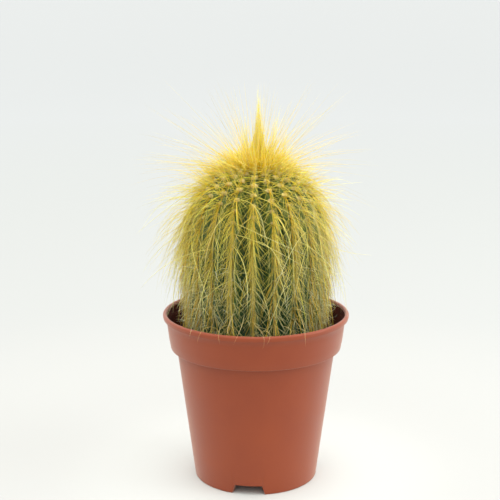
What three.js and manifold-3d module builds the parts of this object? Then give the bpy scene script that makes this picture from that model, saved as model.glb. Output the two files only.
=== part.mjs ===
// Potted round cactus: a ball-shaped ribbed stem with golden spines, standing in a small moulded pot.
// Millimetres, +Z up. The origin is on the ground, on the axis of the pot. The viewer stands towards -Y.
import * as THREE from "three";
import { mergeVertices } from "three/addons/utils/BufferGeometryUtils.js";
import Module from "manifold-3d";

// Driving dimensions, in millimetres and degrees. Angles round the axis start at -Y and grow towards +X.
const GAP = 0.35; // free space that pieces keep where they meet

// Pot
const RIM_RADIUS = 25;
const POT_HEIGHT = 45.8;
const WALL = 0.9;
const LIP_WIDTH = 1.1;
const LIP_ROUNDING = 0.7;
const LIP_HEIGHT = 1.4;
const COLLAR_HEIGHT = 9.6;
const COLLAR_TOP_RADIUS = 24.2;
const COLLAR_FOOT_RADIUS = 22.95;
const COLLAR_ROUNDING = 0.3;
const BODY_TOP_RADIUS = 21.35;
const FOOT_RADIUS = 16.3;
const FOOT_ROUNDING = 0.35;
const FOOT_RING_WIDTH = 1.6;
const FLOOR_UNDERSIDE = 2.6;
const FLOOR_THICKNESS = 1;
const POT_SIDES = 50;

// Drainage: a notch in the foot ring and a hole in the floor, repeated round the pot
const DRAIN_COUNT = 3;
const FIRST_DRAIN_AZIMUTH = -7.2;
const NOTCH_WIDTH = 7.8;
const NOTCH_DEPTH = 6;
const DRAIN_HOLE_RADIUS = 2;
const DRAIN_HOLE_CENTRE = 10.5;
const DRAIN_HOLE_SIDES = 12;

// Soil
const SOIL_LEVEL = 39.6;
const SOIL_ROUGHNESS = 0.35;
const SOIL_TOP_RINGS = [0.35, 0.7]; // shares of the way from the wall to the stem

// Stem: the line of a rib's crest from the buried end up to the top, as radius and height
const STEM_CREST = [
  [10, 34.6],
  [14.2, 36.6],
  [16.4, 39.6],
  [17.6, 44.5],
  [18.2, 54],
  [18.2, 62],
  [17.4, 70],
  [14.8, 77.3],
  [10.6, 82.2],
  [5.6, 84.7],
  [0, 85.2],
];
const STEM_UNDERSIDE = 34.2;
const RIB_COUNT = 21;
const FIRST_RIB_AZIMUTH = -2.7;
const RIB_DEPTH = 2;
const RIBS_START = [0.5, 6]; // heights above the soil between which the furrows deepen
const RIBS_END = [1, 13]; // distances from the axis between which they fade out on the top
const FURROW_SHARPNESS = 1.4;
const STEM_ROWS = 17;
const COLUMNS_PER_RIB = 4;

// Areoles: on each rib a row of them on a slim core, which follows the crest
const AREOLES_PER_RIB = 12;
const LOWEST_AREOLE = 43.5; // height above the ground
const HIGHEST_AREOLE_RADIUS = 9.6; // distance from the axis, at the edge of the crown
const AREOLE_SHIFT = 10; // each rib's row starts this many 21sts of a step higher than the last one's
const AREOLE_LENGTH = 0.55;
const CORE_HALF_WIDTH = 0.42;
const CORE_HEIGHT = 0.6;

// Spines: lengths, and how far they lean aside and along the rib for each millimetre outwards
const RADIAL_LENGTH = [5.5, 8];
const RADIAL_ASIDE = [0.35, 0.75];
const RADIAL_LEAN = [-0.25, 0.2];
const CENTRAL_LENGTH = [8, 12];
const CENTRAL_ASIDE = [0.05, 0.35];
const CENTRAL_LEAN_LOW = -0.4;
const CENTRAL_LEAN_HIGH = 0.2;
const CENTRAL_BEND = 0.38; // share of the length at which a central spine bends
const BEND_RADIUS = 0.19;
const HANGING_BELOW = 0.95; // share of the rib below which central spines hang, less and less
const HANGING_OUTWARD = 0.3;

// Room round a needle
const NEEDLE_CLEARANCE = 0.5;
const CREST_CLEARANCE = 1.3; // bristles pass this far over the crests
const SOIL_CLEARANCE = 1.2;
const POT_CLEARANCE = 1;
const ROOT_LENGTH = 1; // the part of a needle next to its root, which may lie closer
const TRIES = 14;
const SHORTEST_SHARE = 0.5; // of its length, for a needle that finds little room

// Crown: a low mound of wool, whose faces are all raised into bristles
const CROWN_RADIUS = 8.4;
const CROWN_HEIGHT = 2;
const CROWN_EDGE_HEIGHT = 0.7;
const CROWN_RINGS = 5;
const CROWN_SEAT_SHARE = 0.5; // where the underside has its middle ring, to follow the stem's top
const WOOL_HEIGHT = 0.7;
const BRISTLE_RADIUS = 0.24;
const BRISTLE_BEND_RADIUS = 0.15;
const SHORT_BRISTLE_LENGTH = [6, 12];
const SHORT_BRISTLE_TILT = [25, 62]; // from upright, in the middle and at the crown's edge
const FLAME_RINGS = 2;
const FLAME_TOP = 107;
const FLAME_RAGGEDNESS = 5;
const FLAME_WAIST_HEIGHT = 96;
const FLAME_WAIST_RADIUS = [0.4, 2.2];
const FLAME_TIP_RADIUS = [0.2, 1.4];
const LONG_BRISTLES = 12;
const LONG_BRISTLE_REACH = 32; // the furthest tips, from the axis
const LONG_BRISTLE_RISE = [0, 11];
const LONG_BRISTLE_ARCH = [1.5, 3];

const SEED = 21;

const DEGREES = Math.PI / 180;
const TURN = 2 * Math.PI;
const UP = new THREE.Vector3(0, 0, 1);

/** A seeded random number generator, giving numbers from 0 to 1. */
function seededRandom(seed) {
  let state = seed;
  return () => {
    state = (state + 0x6d2b79f5) | 0;
    let mixed = Math.imul(state ^ (state >>> 15), 1 | state);
    mixed = (mixed + Math.imul(mixed ^ (mixed >>> 7), 61 | mixed)) ^ mixed;
    return ((mixed ^ (mixed >>> 14)) >>> 0) / 4294967296;
  };
}

const random = seededRandom(SEED);
const between = ([low, high]) => low + (high - low) * random();
const around = (middle, range) => middle + range * (2 * random() - 1);
const mix = THREE.MathUtils.lerp;
const ramp = THREE.MathUtils.smoothstep;

/** A point of a profile, from its distance from the axis and its height. */
const toPoint = ([radius, height]) => new THREE.Vector2(radius, height);

/** The point at a distance from the axis, an angle round it and a height. */
function polar(radius, azimuth, height) {
  return new THREE.Vector3(radius * Math.sin(azimuth), -radius * Math.cos(azimuth), height);
}

/** Points of a profile on an elliptic arc, between two angles that start at +R and grow towards +Z. */
function arc([centreRadius, centreHeight], [width, height], [from, to], steps) {
  return Array.from({ length: steps + 1 }, (_, i) => {
    const angle = mix(from, to, i / steps) * DEGREES;
    return [centreRadius + width * Math.cos(angle), centreHeight + height * Math.sin(angle)];
  });
}

/** Welds a geometry into one closed mesh that holds positions only, without collapsed faces. */
function weld(geometry) {
  geometry.deleteAttribute("normal");
  geometry.deleteAttribute("uv");
  const welded = mergeVertices(geometry);
  const corners = welded.index.array;
  const kept = [];
  for (let i = 0; i < corners.length; i += 3) {
    const [a, b, c] = [corners[i], corners[i + 1], corners[i + 2]];
    if (a !== b && b !== c && c !== a) kept.push(a, b, c);
  }
  return welded.setIndex(kept);
}

/** A solid of revolution about Z, from a profile of radius and height pairs. */
function turned(profile) {
  return weld(new THREE.LatheGeometry(profile.map(toPoint), POT_SIDES).rotateX(Math.PI / 2));
}

const wasm = await Module();
wasm.setup();

function toSolid(geometry) {
  return new wasm.Manifold(
    new wasm.Mesh({
      numProp: 3,
      vertProperties: geometry.attributes.position.array,
      triVerts: new Uint32Array(geometry.index.array),
    }),
  );
}

/** Cuts every tool out of a body. */
function cut(body, tools) {
  const solid = tools.reduce((rest, tool) => rest.subtract(toSolid(tool)), toSolid(body));
  const mesh = solid.getMesh();
  return new THREE.BufferGeometry()
    .setAttribute("position", new THREE.BufferAttribute(mesh.vertProperties, 3))
    .setIndex(Array.from(mesh.triVerts));
}

/** A closed surface built face by face, whose faces can be raised into needles. */
class Shell {
  points = [];
  faces = [];

  point(position) {
    return this.points.push(position) - 1;
  }

  face(a, b, c) {
    return this.faces.push([a, b, c]) - 1;
  }

  /** Adds a four-sided face as two triangles that share the edge from a to c, and returns both. */
  quad(a, b, c, d) {
    return [this.face(a, b, c), this.face(a, c, d)];
  }

  centre(face) {
    const sum = new THREE.Vector3();
    this.faces[face].forEach((corner) => sum.add(this.points[corner]));
    return sum.divideScalar(3);
  }

  /** Raises a face into a three-sided needle, through rings of { at, along, radius }, to its tip. */
  raise(face, rings, tip) {
    const root = this.centre(face);
    const offsets = this.faces[face].map((corner) => this.points[corner].clone().sub(root));
    let below = this.faces[face];
    for (const { at, along, radius } of rings) {
      const above = offsets.map((offset) => {
        const across = offset.clone().projectOnPlane(along).setLength(radius);
        return this.point(at.clone().add(across));
      });
      for (const i of [0, 1, 2]) {
        const j = (i + 1) % 3;
        this.quad(below[i], below[j], above[j], above[i]);
      }
      below = above;
    }
    const apex = this.point(tip);
    this.faces[face] = [below[0], below[1], apex];
    this.face(below[1], below[2], apex);
    this.face(below[2], below[0], apex);
  }

  geometry() {
    const geometry = new THREE.BufferGeometry().setFromPoints(this.points);
    return geometry.setIndex(this.faces.flat());
  }
}

// Pot
const collarFoot = POT_HEIGHT - COLLAR_HEIGHT;
const lipFoot = POT_HEIGHT - LIP_HEIGHT;
const floorTop = FLOOR_UNDERSIDE + FLOOR_THICKNESS;

/** The pot's inner wall, from under the lip down to the floor. */
const innerWall = [
  [COLLAR_TOP_RADIUS - WALL, lipFoot],
  [COLLAR_FOOT_RADIUS - WALL, collarFoot + WALL],
  [BODY_TOP_RADIUS - WALL, collarFoot - WALL / 2],
  [FOOT_RADIUS + FOOT_ROUNDING - WALL, floorTop],
];

/** The rounded lip, over the top from outside to inside. */
const lipMiddle = [RIM_RADIUS - LIP_WIDTH / 2, POT_HEIGHT - LIP_ROUNDING];
const lip = arc(lipMiddle, [LIP_WIDTH / 2, LIP_ROUNDING], [-20, 180], 5);

/** The outer wall, from the foot up to the lip. */
const outerWall = [
  ...arc([FOOT_RADIUS, FOOT_ROUNDING], [FOOT_ROUNDING, FOOT_ROUNDING], [-90, 0], 2),
  [BODY_TOP_RADIUS, collarFoot - COLLAR_ROUNDING],
  [COLLAR_FOOT_RADIUS - COLLAR_ROUNDING, collarFoot],
  [COLLAR_FOOT_RADIUS, collarFoot + COLLAR_ROUNDING],
  [COLLAR_TOP_RADIUS, lipFoot],
];

/** Radius of the inner wall at a height. */
function innerRadius(height) {
  const below = Math.max(1, innerWall.findIndex(([, low]) => low <= height));
  const [topRadius, top] = innerWall[below - 1];
  const [lowRadius, low] = innerWall[below];
  return mix(lowRadius, topRadius, (height - low) / (top - low));
}

/** A cutter for one notch of the foot ring, at -Y before it is turned to its place. */
function notchCutter() {
  const height = 2 * FLOOR_UNDERSIDE;
  return weld(new THREE.BoxGeometry(NOTCH_WIDTH, NOTCH_DEPTH, height)).translate(0, -FOOT_RADIUS, 0);
}

/** A cutter for one drain hole in the floor, at -Y before it is turned to its place. */
function drainHoleCutter() {
  const height = 3 * FLOOR_THICKNESS;
  const round = new THREE.CylinderGeometry(DRAIN_HOLE_RADIUS, DRAIN_HOLE_RADIUS, height, DRAIN_HOLE_SIDES);
  const middle = (FLOOR_UNDERSIDE + floorTop) / 2;
  return weld(round.rotateX(Math.PI / 2)).translate(0, -DRAIN_HOLE_CENTRE, middle);
}

/** The moulded pot, with its notched foot ring and drained floor. */
function pot() {
  const footInside = FOOT_RADIUS - FOOT_RING_WIDTH;
  const profile = [
    [0, FLOOR_UNDERSIDE],
    [footInside, FLOOR_UNDERSIDE],
    [footInside, 0],
    ...outerWall,
    ...lip,
    ...innerWall,
    [0, floorTop],
  ];
  const cutters = [];
  for (let i = 0; i < DRAIN_COUNT; i += 1) {
    const azimuth = FIRST_DRAIN_AZIMUTH * DEGREES + (i * TURN) / DRAIN_COUNT;
    cutters.push(notchCutter().rotateZ(azimuth), drainHoleCutter().rotateZ(azimuth));
  }
  return cut(turned(profile), cutters);
}

// Soil
/** The soil: it fills the pot, has a plain hole for the stem and a rough top. */
function soil() {
  const buried = STEM_CREST.filter(([, height]) => height < SOIL_LEVEL);
  const hole = buried.map(([radius, height]) => [radius + GAP, height - GAP]).reverse();
  const holeEdge = STEM_CREST[buried.length][0] + 2 * GAP;
  const wall = innerWall.slice(1).map(([radius, height]) => [radius - GAP, height + GAP]).reverse();
  const wallTop = innerRadius(SOIL_LEVEL) - GAP;
  const profile = [
    [0, floorTop + GAP],
    ...wall,
    [wallTop, SOIL_LEVEL],
    ...SOIL_TOP_RINGS.map((share) => [mix(wallTop, holeEdge, share), SOIL_LEVEL]),
    [holeEdge, SOIL_LEVEL],
    ...hole,
    [0, STEM_UNDERSIDE - GAP],
  ];
  const geometry = turned(profile);
  const positions = geometry.attributes.position;
  for (let i = 0; i < positions.count; i += 1) {
    const onTop = Math.abs(positions.getZ(i) - SOIL_LEVEL) < 0.01;
    if (onTop) positions.setZ(i, around(SOIL_LEVEL, SOIL_ROUGHNESS));
  }
  return geometry;
}

// Stem
const meridian = new THREE.SplineCurve(STEM_CREST.map(toPoint));
const meridianSteps = 2000;

/** The share of the meridian's length at which a test on its point first holds. */
function firstAlong(test) {
  for (let i = 0; i < meridianSteps; i += 1) {
    if (test(meridian.getPointAt(i / meridianSteps))) return i / meridianSteps;
  }
  return 1;
}

/** Height of the stem's rounded top at a distance from the axis. */
function topHeight(distance) {
  return meridian.getPointAt(firstAlong(({ x, y }) => y > LOWEST_AREOLE && x <= distance)).y;
}

/** A place on the crest line turned to an azimuth: its point, and the ways out, up along it and across. */
function crestFrame(along, azimuth) {
  const { x: radius, y: height } = meridian.getPointAt(along);
  const tangent = meridian.getTangentAt(along);
  const outward = polar(1, azimuth, 0);
  return {
    at: polar(radius, azimuth, height),
    up: outward.clone().multiplyScalar(tangent.x).addScaledVector(UP, tangent.y),
    out: outward.clone().multiplyScalar(tangent.y).addScaledVector(UP, -tangent.x),
    across: polar(1, azimuth + Math.PI / 2, 0),
  };
}

/** How deep the furrows are at a point of the meridian. */
function furrowDepth({ x: radius, y: height }) {
  const [start, full] = RIBS_START;
  return RIB_DEPTH * ramp(height - SOIL_LEVEL, start, full) * ramp(radius, ...RIBS_END);
}

/** The green stem: crests and furrows run from the buried end to the top. */
function ribbedStem() {
  const shell = new Shell();
  const columns = RIB_COUNT * COLUMNS_PER_RIB;
  const rows = [];
  for (let row = 0; row < STEM_ROWS; row += 1) {
    const along = row / STEM_ROWS;
    const depth = furrowDepth(meridian.getPointAt(along));
    rows.push(
      Array.from({ length: columns }, (_, column) => {
        const { at, out } = crestFrame(along, FIRST_RIB_AZIMUTH * DEGREES + (column * TURN) / columns);
        const fromCrest = 1 - Math.abs(1 - (2 * (column % COLUMNS_PER_RIB)) / COLUMNS_PER_RIB);
        return shell.point(at.addScaledVector(out, -depth * fromCrest ** FURROW_SHARPNESS));
      }),
    );
  }
  const bottom = shell.point(polar(0, 0, STEM_UNDERSIDE));
  const top = shell.point(polar(0, 0, topHeight(0)));
  for (let column = 0; column < columns; column += 1) {
    const next = (column + 1) % columns;
    shell.face(bottom, rows[0][next], rows[0][column]);
    for (let row = 1; row < STEM_ROWS; row += 1) {
      shell.quad(rows[row - 1][column], rows[row - 1][next], rows[row][next], rows[row][column]);
    }
    shell.face(top, rows.at(-1)[column], rows.at(-1)[next]);
  }
  return shell.geometry();
}

// Room for the needles
const crestSamples = meridian.getSpacedPoints(90);
const needleLines = [];

/** True where a point stays clear of the stem, the soil and the pot. */
function isOpenAir({ x, y, z: height }) {
  const radius = Math.hypot(x, y);
  if (height < SOIL_LEVEL + SOIL_CLEARANCE) return false;
  const besidePot = height < POT_HEIGHT + POT_CLEARANCE;
  if (besidePot && radius > innerRadius(Math.min(height, lipFoot)) - POT_CLEARANCE) return false;
  const level = crestSamples.findIndex((crest) => crest.y > height);
  if (level >= 0 && radius < crestSamples[level].x) return false;
  return crestSamples.every((crest) => Math.hypot(radius - crest.x, height - crest.y) > CREST_CLEARANCE);
}

/** The centre line of a needle as straight lines, without the part next to its root. */
function centreLines([root, ...stops]) {
  const first = root.distanceTo(stops[0]);
  const start = first > ROOT_LENGTH ? root.clone().lerp(stops[0], ROOT_LENGTH / first) : stops.shift();
  return stops.map((stop, i) => new THREE.Line3(i === 0 ? start : stops[i - 1], stop));
}

/** True where no part of a needle comes near another needle or a surface. */
function isFree(lines) {
  const shares = [0.25, 0.5, 0.75, 1];
  const open = lines.every((line) => shares.every((share) => isOpenAir(line.at(share, new THREE.Vector3()))));
  const nearest = NEEDLE_CLEARANCE ** 2;
  return open && lines.every((line) => needleLines.every((other) => line.distanceSqToLine3(other) > nearest));
}

/** Raises a face into a needle along the first of several proposed paths that is free, if there is one. */
function growNeedle(shell, face, propose) {
  const root = shell.centre(face);
  for (let i = 0; i < TRIES; i += 1) {
    const { rings, tip } = propose(root, mix(1, SHORTEST_SHARE, i / TRIES));
    const lines = centreLines([root, ...rings.map((ring) => ring.at), tip]);
    if (isFree(lines)) {
      needleLines.push(...lines);
      shell.raise(face, rings, tip);
      return;
    }
  }
}

// Spines of the ribs
/** A straight radial spine, to one side of its rib, at a share of the way up the rib. */
function radialSpine({ out, across, up }, side, share) {
  return (root, size) => {
    const way = out.clone().addScaledVector(across, side * between(RADIAL_ASIDE));
    way.addScaledVector(up, between(RADIAL_LEAN)).normalize();
    const length = size * between(RADIAL_LENGTH) * mix(0.75, 1.15, share);
    return { rings: [], tip: root.clone().addScaledVector(way, length) };
  };
}

/** A long central spine, which bends and hangs down on the side of the plant and stands out on top. */
function centralSpine({ out, across, up }, side, share) {
  return (root, size) => {
    const way = out.clone().addScaledVector(across, side * between(CENTRAL_ASIDE));
    way.addScaledVector(up, around(mix(CENTRAL_LEAN_LOW, CENTRAL_LEAN_HIGH, share), 0.15)).normalize();
    const hanging = way.clone().multiplyScalar(HANGING_OUTWARD).sub(UP).normalize();
    const onward = way.clone().lerp(hanging, 1 - ramp(share, 0, HANGING_BELOW)).normalize();
    const length = size * between(CENTRAL_LENGTH) * mix(0.8, 1.25, share);
    const bend = root.clone().addScaledVector(way, CENTRAL_BEND * length);
    const ring = { at: bend, along: way.clone().add(onward).normalize(), radius: BEND_RADIUS };
    return { rings: [ring], tip: bend.clone().addScaledVector(onward, (1 - CENTRAL_BEND) * length) };
  };
}

/** One cross-section of a rib's core: two corners next to the crest, and a ridge above it. */
function coreSection(shell, along, azimuth) {
  const { at, out, across } = crestFrame(along, azimuth);
  const foot = at.addScaledVector(out, GAP);
  return {
    left: shell.point(foot.clone().addScaledVector(across, -CORE_HALF_WIDTH)),
    right: shell.point(foot.clone().addScaledVector(across, CORE_HALF_WIDTH)),
    ridge: shell.point(foot.clone().addScaledVector(out, CORE_HEIGHT)),
  };
}

const lowestAreole = firstAlong(({ y }) => y > LOWEST_AREOLE);
const highestAreole = firstAlong(({ x, y }) => y > LOWEST_AREOLE && x < HIGHEST_AREOLE_RADIUS);

/** The spines of one rib: a slim core along the crest, with four spines on each areole. */
function ribSpines(rib) {
  const azimuth = FIRST_RIB_AZIMUTH * DEGREES + (rib * TURN) / RIB_COUNT;
  const shift = ((rib * AREOLE_SHIFT) % RIB_COUNT) / RIB_COUNT;
  const shares = Array.from({ length: AREOLES_PER_RIB }, (_, i) => (i + shift) / AREOLES_PER_RIB);
  const places = shares.map((share) => mix(lowestAreole, highestAreole, share));
  const half = AREOLE_LENGTH / 2 / meridian.getLength();
  const shell = new Shell();
  const sections = places.flatMap((along) => [
    coreSection(shell, along - half, azimuth),
    coreSection(shell, along + half, azimuth),
  ]);
  const [first, last] = [sections[0], sections.at(-1)];
  shell.face(first.left, first.right, first.ridge);
  shell.face(last.left, last.ridge, last.right);
  const spines = [];
  for (let i = 1; i < sections.length; i += 1) {
    const [low, high] = [sections[i - 1], sections[i]];
    shell.quad(low.right, low.left, high.left, high.right);
    const [leftRidge, leftSide] = shell.quad(low.left, low.ridge, high.ridge, high.left);
    const [rightSide, rightRidge] = shell.quad(low.right, high.right, high.ridge, low.ridge);
    const isAreole = i % 2 === 1;
    if (!isAreole) continue;
    const areole = (i - 1) / 2;
    const frame = crestFrame(places[areole], azimuth);
    spines.push([leftRidge, centralSpine(frame, -1, shares[areole])]);
    spines.push([rightRidge, centralSpine(frame, 1, shares[areole])]);
    spines.push([leftSide, radialSpine(frame, -1, shares[areole])]);
    spines.push([rightSide, radialSpine(frame, 1, shares[areole])]);
  }
  spines.forEach(([face, propose]) => growNeedle(shell, face, propose));
  return shell.geometry();
}

// Crown
/** The path of a crown bristle: a little cone of wool at its root, then the stops up to its tip. */
function bristlePath(root, way, stops) {
  const wool = root.clone().addScaledVector(way, WOOL_HEIGHT);
  const [next, tip] = stops.length > 1 ? stops : [stops[0], stops[0]];
  const rings = [{ at: wool, along: next.clone().sub(root).normalize(), radius: BRISTLE_RADIUS }];
  if (stops.length > 1) {
    rings.push({ at: next, along: tip.clone().sub(wool).normalize(), radius: BRISTLE_BEND_RADIUS });
  }
  return { rings, tip };
}

/** A bristle of the central flame: it leans in to a narrow waist and ends near the flame's tip. */
function flameBristle(azimuth) {
  return (root, size) => {
    const turn = around(azimuth, 0.2);
    const highest = mix(SOIL_LEVEL, FLAME_TOP, mix(0.8, 1, size));
    const waist = polar(between(FLAME_WAIST_RADIUS), turn, FLAME_WAIST_HEIGHT);
    const tip = polar(between(FLAME_TIP_RADIUS), turn, between([highest - FLAME_RAGGEDNESS, highest]));
    return bristlePath(root, UP, [waist, tip]);
  };
}

/** A short stiff bristle of the crown's dense golden band, at a share of the crown's radius. */
function shortBristle(azimuth, share) {
  return (root, size) => {
    const tilt = around(mix(...SHORT_BRISTLE_TILT, share) * DEGREES, 0.2);
    const way = polar(Math.sin(tilt), around(azimuth, 0.25), Math.cos(tilt));
    return bristlePath(root, way, [root.clone().addScaledVector(way, size * between(SHORT_BRISTLE_LENGTH))]);
  };
}

/** One of the few long bristles that fan out of the crown, arching a little under their own weight. */
function longBristle(azimuth) {
  return (root) => {
    const tip = polar(LONG_BRISTLE_REACH, azimuth, root.z + between(LONG_BRISTLE_RISE));
    const middle = root.clone().lerp(tip, 0.5).addScaledVector(UP, between(LONG_BRISTLE_ARCH));
    return bristlePath(root, middle.clone().sub(root).normalize(), [middle, tip]);
  };
}

/** Covers the crown's top with rings of triangles, 6 in the first ring, and returns each with its place. */
function crownFaces(shell, rings) {
  const faces = [];
  for (let ring = 1; ring <= CROWN_RINGS; ring += 1) {
    const [inner, outer] = [rings[ring - 1], rings[ring]];
    outer.forEach((corner, i) => {
      const innerAt = (step) => inner[(Math.floor(i / ring) * (ring - 1) + step) % inner.length];
      const step = i % ring;
      const azimuth = (i * TURN) / outer.length;
      const next = outer[(i + 1) % outer.length];
      const half = TURN / outer.length / 2;
      faces.push({ ring, azimuth: azimuth + half, face: shell.face(innerAt(step), corner, next) });
      if (step > 0) faces.push({ ring, azimuth, face: shell.face(innerAt(step - 1), corner, innerAt(step)) });
    });
  }
  return faces;
}

/** The crown: a low mound of golden wool on top of the stem, every face raised into a bristle. */
function crown() {
  const shell = new Shell();
  const circle = (radius, count, height) =>
    Array.from({ length: count }, (_, i) => shell.point(polar(radius, (i * TURN) / count, height)));
  const seat = topHeight(0) + GAP;
  const edge = topHeight(CROWN_RADIUS) + GAP;
  const rings = Array.from({ length: CROWN_RINGS + 1 }, (_, ring) => {
    const share = ring / CROWN_RINGS;
    const height = mix(seat + CROWN_HEIGHT, edge + CROWN_EDGE_HEIGHT, share ** 2);
    return circle(CROWN_RADIUS * share, Math.max(1, 6 * ring), height);
  });
  const faces = crownFaces(shell, rings);
  const rim = rings.at(-1);
  const [outer, inner] = [1, CROWN_SEAT_SHARE].map((share) => {
    const radius = CROWN_RADIUS * share;
    return circle(radius, rim.length, topHeight(radius) + GAP);
  });
  const middle = shell.point(polar(0, 0, seat));
  rim.forEach((corner, i) => {
    const next = (i + 1) % rim.length;
    shell.quad(outer[i], outer[next], rim[next], corner);
    shell.quad(inner[i], inner[next], outer[next], outer[i]);
    shell.face(middle, inner[next], inner[i]);
  });
  const edgeFaces = faces.filter(({ ring }) => ring === CROWN_RINGS);
  const long = new Set();
  for (let i = 0; i < LONG_BRISTLES; i += 1) {
    const azimuth = (i * TURN) / LONG_BRISTLES;
    const turnTo = (place) => Math.abs(Math.sin((place.azimuth - azimuth) / 2));
    const nearest = edgeFaces.reduce((best, place) => (turnTo(place) < turnTo(best) ? place : best));
    long.add(nearest);
    growNeedle(shell, nearest.face, longBristle(azimuth));
  }
  for (const place of faces) {
    if (long.has(place)) continue;
    const { ring, azimuth, face } = place;
    const bristle = ring <= FLAME_RINGS ? flameBristle(azimuth) : shortBristle(azimuth, ring / CROWN_RINGS);
    growNeedle(shell, face, bristle);
  }
  return shell.geometry();
}

// Materials
const terracottaPlastic = { color: 0xa4543a, roughness: 0.42, metalness: 0 };
const darkPeat = { color: 0x3b2419, roughness: 1, metalness: 0 };
const greenSkin = { color: 0x4f6b2c, roughness: 0.6, metalness: 0 };
const strawSpine = { color: 0xcdb35a, roughness: 0.5, metalness: 0 };
const goldenSpine = { color: 0xe6b92f, roughness: 0.5, metalness: 0 };

const cactus = new THREE.Group();

function addPiece(name, geometry, material) {
  const mesh = new THREE.Mesh(geometry, new THREE.MeshStandardMaterial(material));
  mesh.name = name;
  cactus.add(mesh);
}

addPiece("pot", pot(), terracottaPlastic);
addPiece("soil", soil(), darkPeat);
addPiece("cactus_stem", ribbedStem(), greenSkin);
addPiece("crown_tuft", crown(), goldenSpine);
for (let rib = 0; rib < RIB_COUNT; rib += 1) {
  addPiece(`rib_spines_${String(rib + 1).padStart(2, "0")}`, ribSpines(rib), strawSpine);
}

export default cactus;
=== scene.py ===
"""Potted round cactus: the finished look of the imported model. Metres, +Z up, the viewer towards -Y."""
import math
from contextlib import contextmanager

import bmesh
import bpy
import numpy as np
from mathutils import Matrix, Vector


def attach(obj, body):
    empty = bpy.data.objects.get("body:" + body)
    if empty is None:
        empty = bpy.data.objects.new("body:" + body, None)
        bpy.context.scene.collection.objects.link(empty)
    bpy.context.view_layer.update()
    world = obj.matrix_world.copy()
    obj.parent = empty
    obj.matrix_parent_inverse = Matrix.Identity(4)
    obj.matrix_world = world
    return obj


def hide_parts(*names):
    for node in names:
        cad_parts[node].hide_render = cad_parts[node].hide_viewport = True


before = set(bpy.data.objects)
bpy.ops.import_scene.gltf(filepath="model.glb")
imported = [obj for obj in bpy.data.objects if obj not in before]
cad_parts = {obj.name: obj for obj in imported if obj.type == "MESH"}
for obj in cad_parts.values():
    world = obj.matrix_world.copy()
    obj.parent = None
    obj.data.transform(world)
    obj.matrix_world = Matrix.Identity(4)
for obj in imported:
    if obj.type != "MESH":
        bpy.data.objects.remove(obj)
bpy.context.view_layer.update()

# Sizes are in millimetres. Angles round the axis are in degrees, from -Y towards +X.
MM = 0.001
UP = np.array([0, 0, 1.0])
# Turned outlines start and end this far from the axis, and are welded there.
AXIS_GAP = 0.01

# Pot
RIM_RADIUS = 25.0
POT_HEIGHT = 45.8
WALL = 0.9
LIP_WIDTH = 1.1
LIP_ROUNDING = 0.7
LIP_HEIGHT = 1.4
COLLAR_HEIGHT = 9.6
COLLAR_TOP_RADIUS = 24.2
COLLAR_FOOT_RADIUS = 22.95
BODY_TOP_RADIUS = 21.35
FOOT_RADIUS = 16.3
FOOT_ROUNDING = 0.35
FOOT_RING_WIDTH = 1.6
FLOOR_UNDERSIDE = 2.6
FLOOR_THICKNESS = 1.0
DRAIN_COUNT = 3
FIRST_DRAIN = -7.2
NOTCH_WIDTH = 7.8
NOTCH_SLANT = 0.9
DRAIN_HOLE_RADIUS = 2.0
DRAIN_HOLE_CENTRE = 10.5
POT_COLUMNS = 180

# Soil
SOIL_LEVEL = 39.6
SOIL_RADIUS = 22.2
SOIL_COLUMNS = 200
CRUMBS = 420
CRUMB_RING = 17.5
CRUMB_RING_WIDTH = 4.0

# Stem: radius and height along a rib's crest, from the buried end to the top
CREST = [(10, 34.6), (14.2, 36.6), (16.4, 39.6), (17.6, 44.5), (18.2, 54), (18.2, 62), (17.4, 70),
         (14.8, 77.3), (10.6, 82.2), (5.6, 84.7), (0, 85.2)]
CREST_STEPS = 600
SURFACE_STRIDE = 6
SURFACE_BATCH = 20000
STEM_UNDERSIDE = 34.2
STEM_TOP = CREST[-1][1]
RIB_COUNT = 21
FIRST_RIB = -2.7
RIB_DEPTH = 2.3
COLUMNS_PER_RIB = 14
STEM_ROWS = 170
TUBERCLE_HEIGHT = 0.32
TUBERCLE_LENGTH = 1.15

# Areoles, and how many spines or hairs of each kind one of them has. The ribs' rows are shifted by shares
# of a step, which makes spirals, and end below TOP_SHARE of the crest's length.
AREOLES_PER_RIB = 18
LOWEST_AREOLE = 41.5
TOP_SHARE = 0.985
SPIRAL_SHIFT = 10
RADIALS_A_SIDE = 4
CENTRALS = 3
FRINGE = 34
TANGLE = 15
WOOL_HAIRS = 14
RIBS_PER_PIECE = 3

# Hairs near the pot: the radius they keep inside, the height from which they go over the lip, and gaps
INSIDE_COLLAR = 21.6
LIP_CATCH = 44
LIP_GAP = 0.15
SOIL_GAP = 0.5

# Top of the plant, and how far loose hairs may reach from the axis and up
CROWN_RADIUS = 6.0
FLAME_FOOT = 86.5
FLAME_TOP = 108.0
REACH = 32.2
TOP_REACH = 108.0

# Light tent: strengths at the sides, overhead, behind the viewer and along the horizon. The even band at
# the horizon blends into the rest up to TENT_FOOT, as a share of straight up.
TENT_SIDE = 1.05
TENT_TOP = 2.15
TENT_FRONT = 0.5
HORIZON = 0.86
TENT_FOOT = 0.08
# Both soft boxes face this place, in metres.
LIGHT_TARGET = (0, 0, 0.05)

# Camera: focal length in pixels of a picture PICTURE_PX wide, and the place from the foot of the pot's axis
PICTURE_PX = 500
FOCAL_PX = 1157.0
SENSOR_WIDTH = 36
CAMERA_DISTANCE = 301.0
CAMERA_HEIGHT = 128.4
CAMERA_PITCH = 12.34
CAMERA_ASIDE = -1.58

rng = np.random.default_rng(21)


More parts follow.
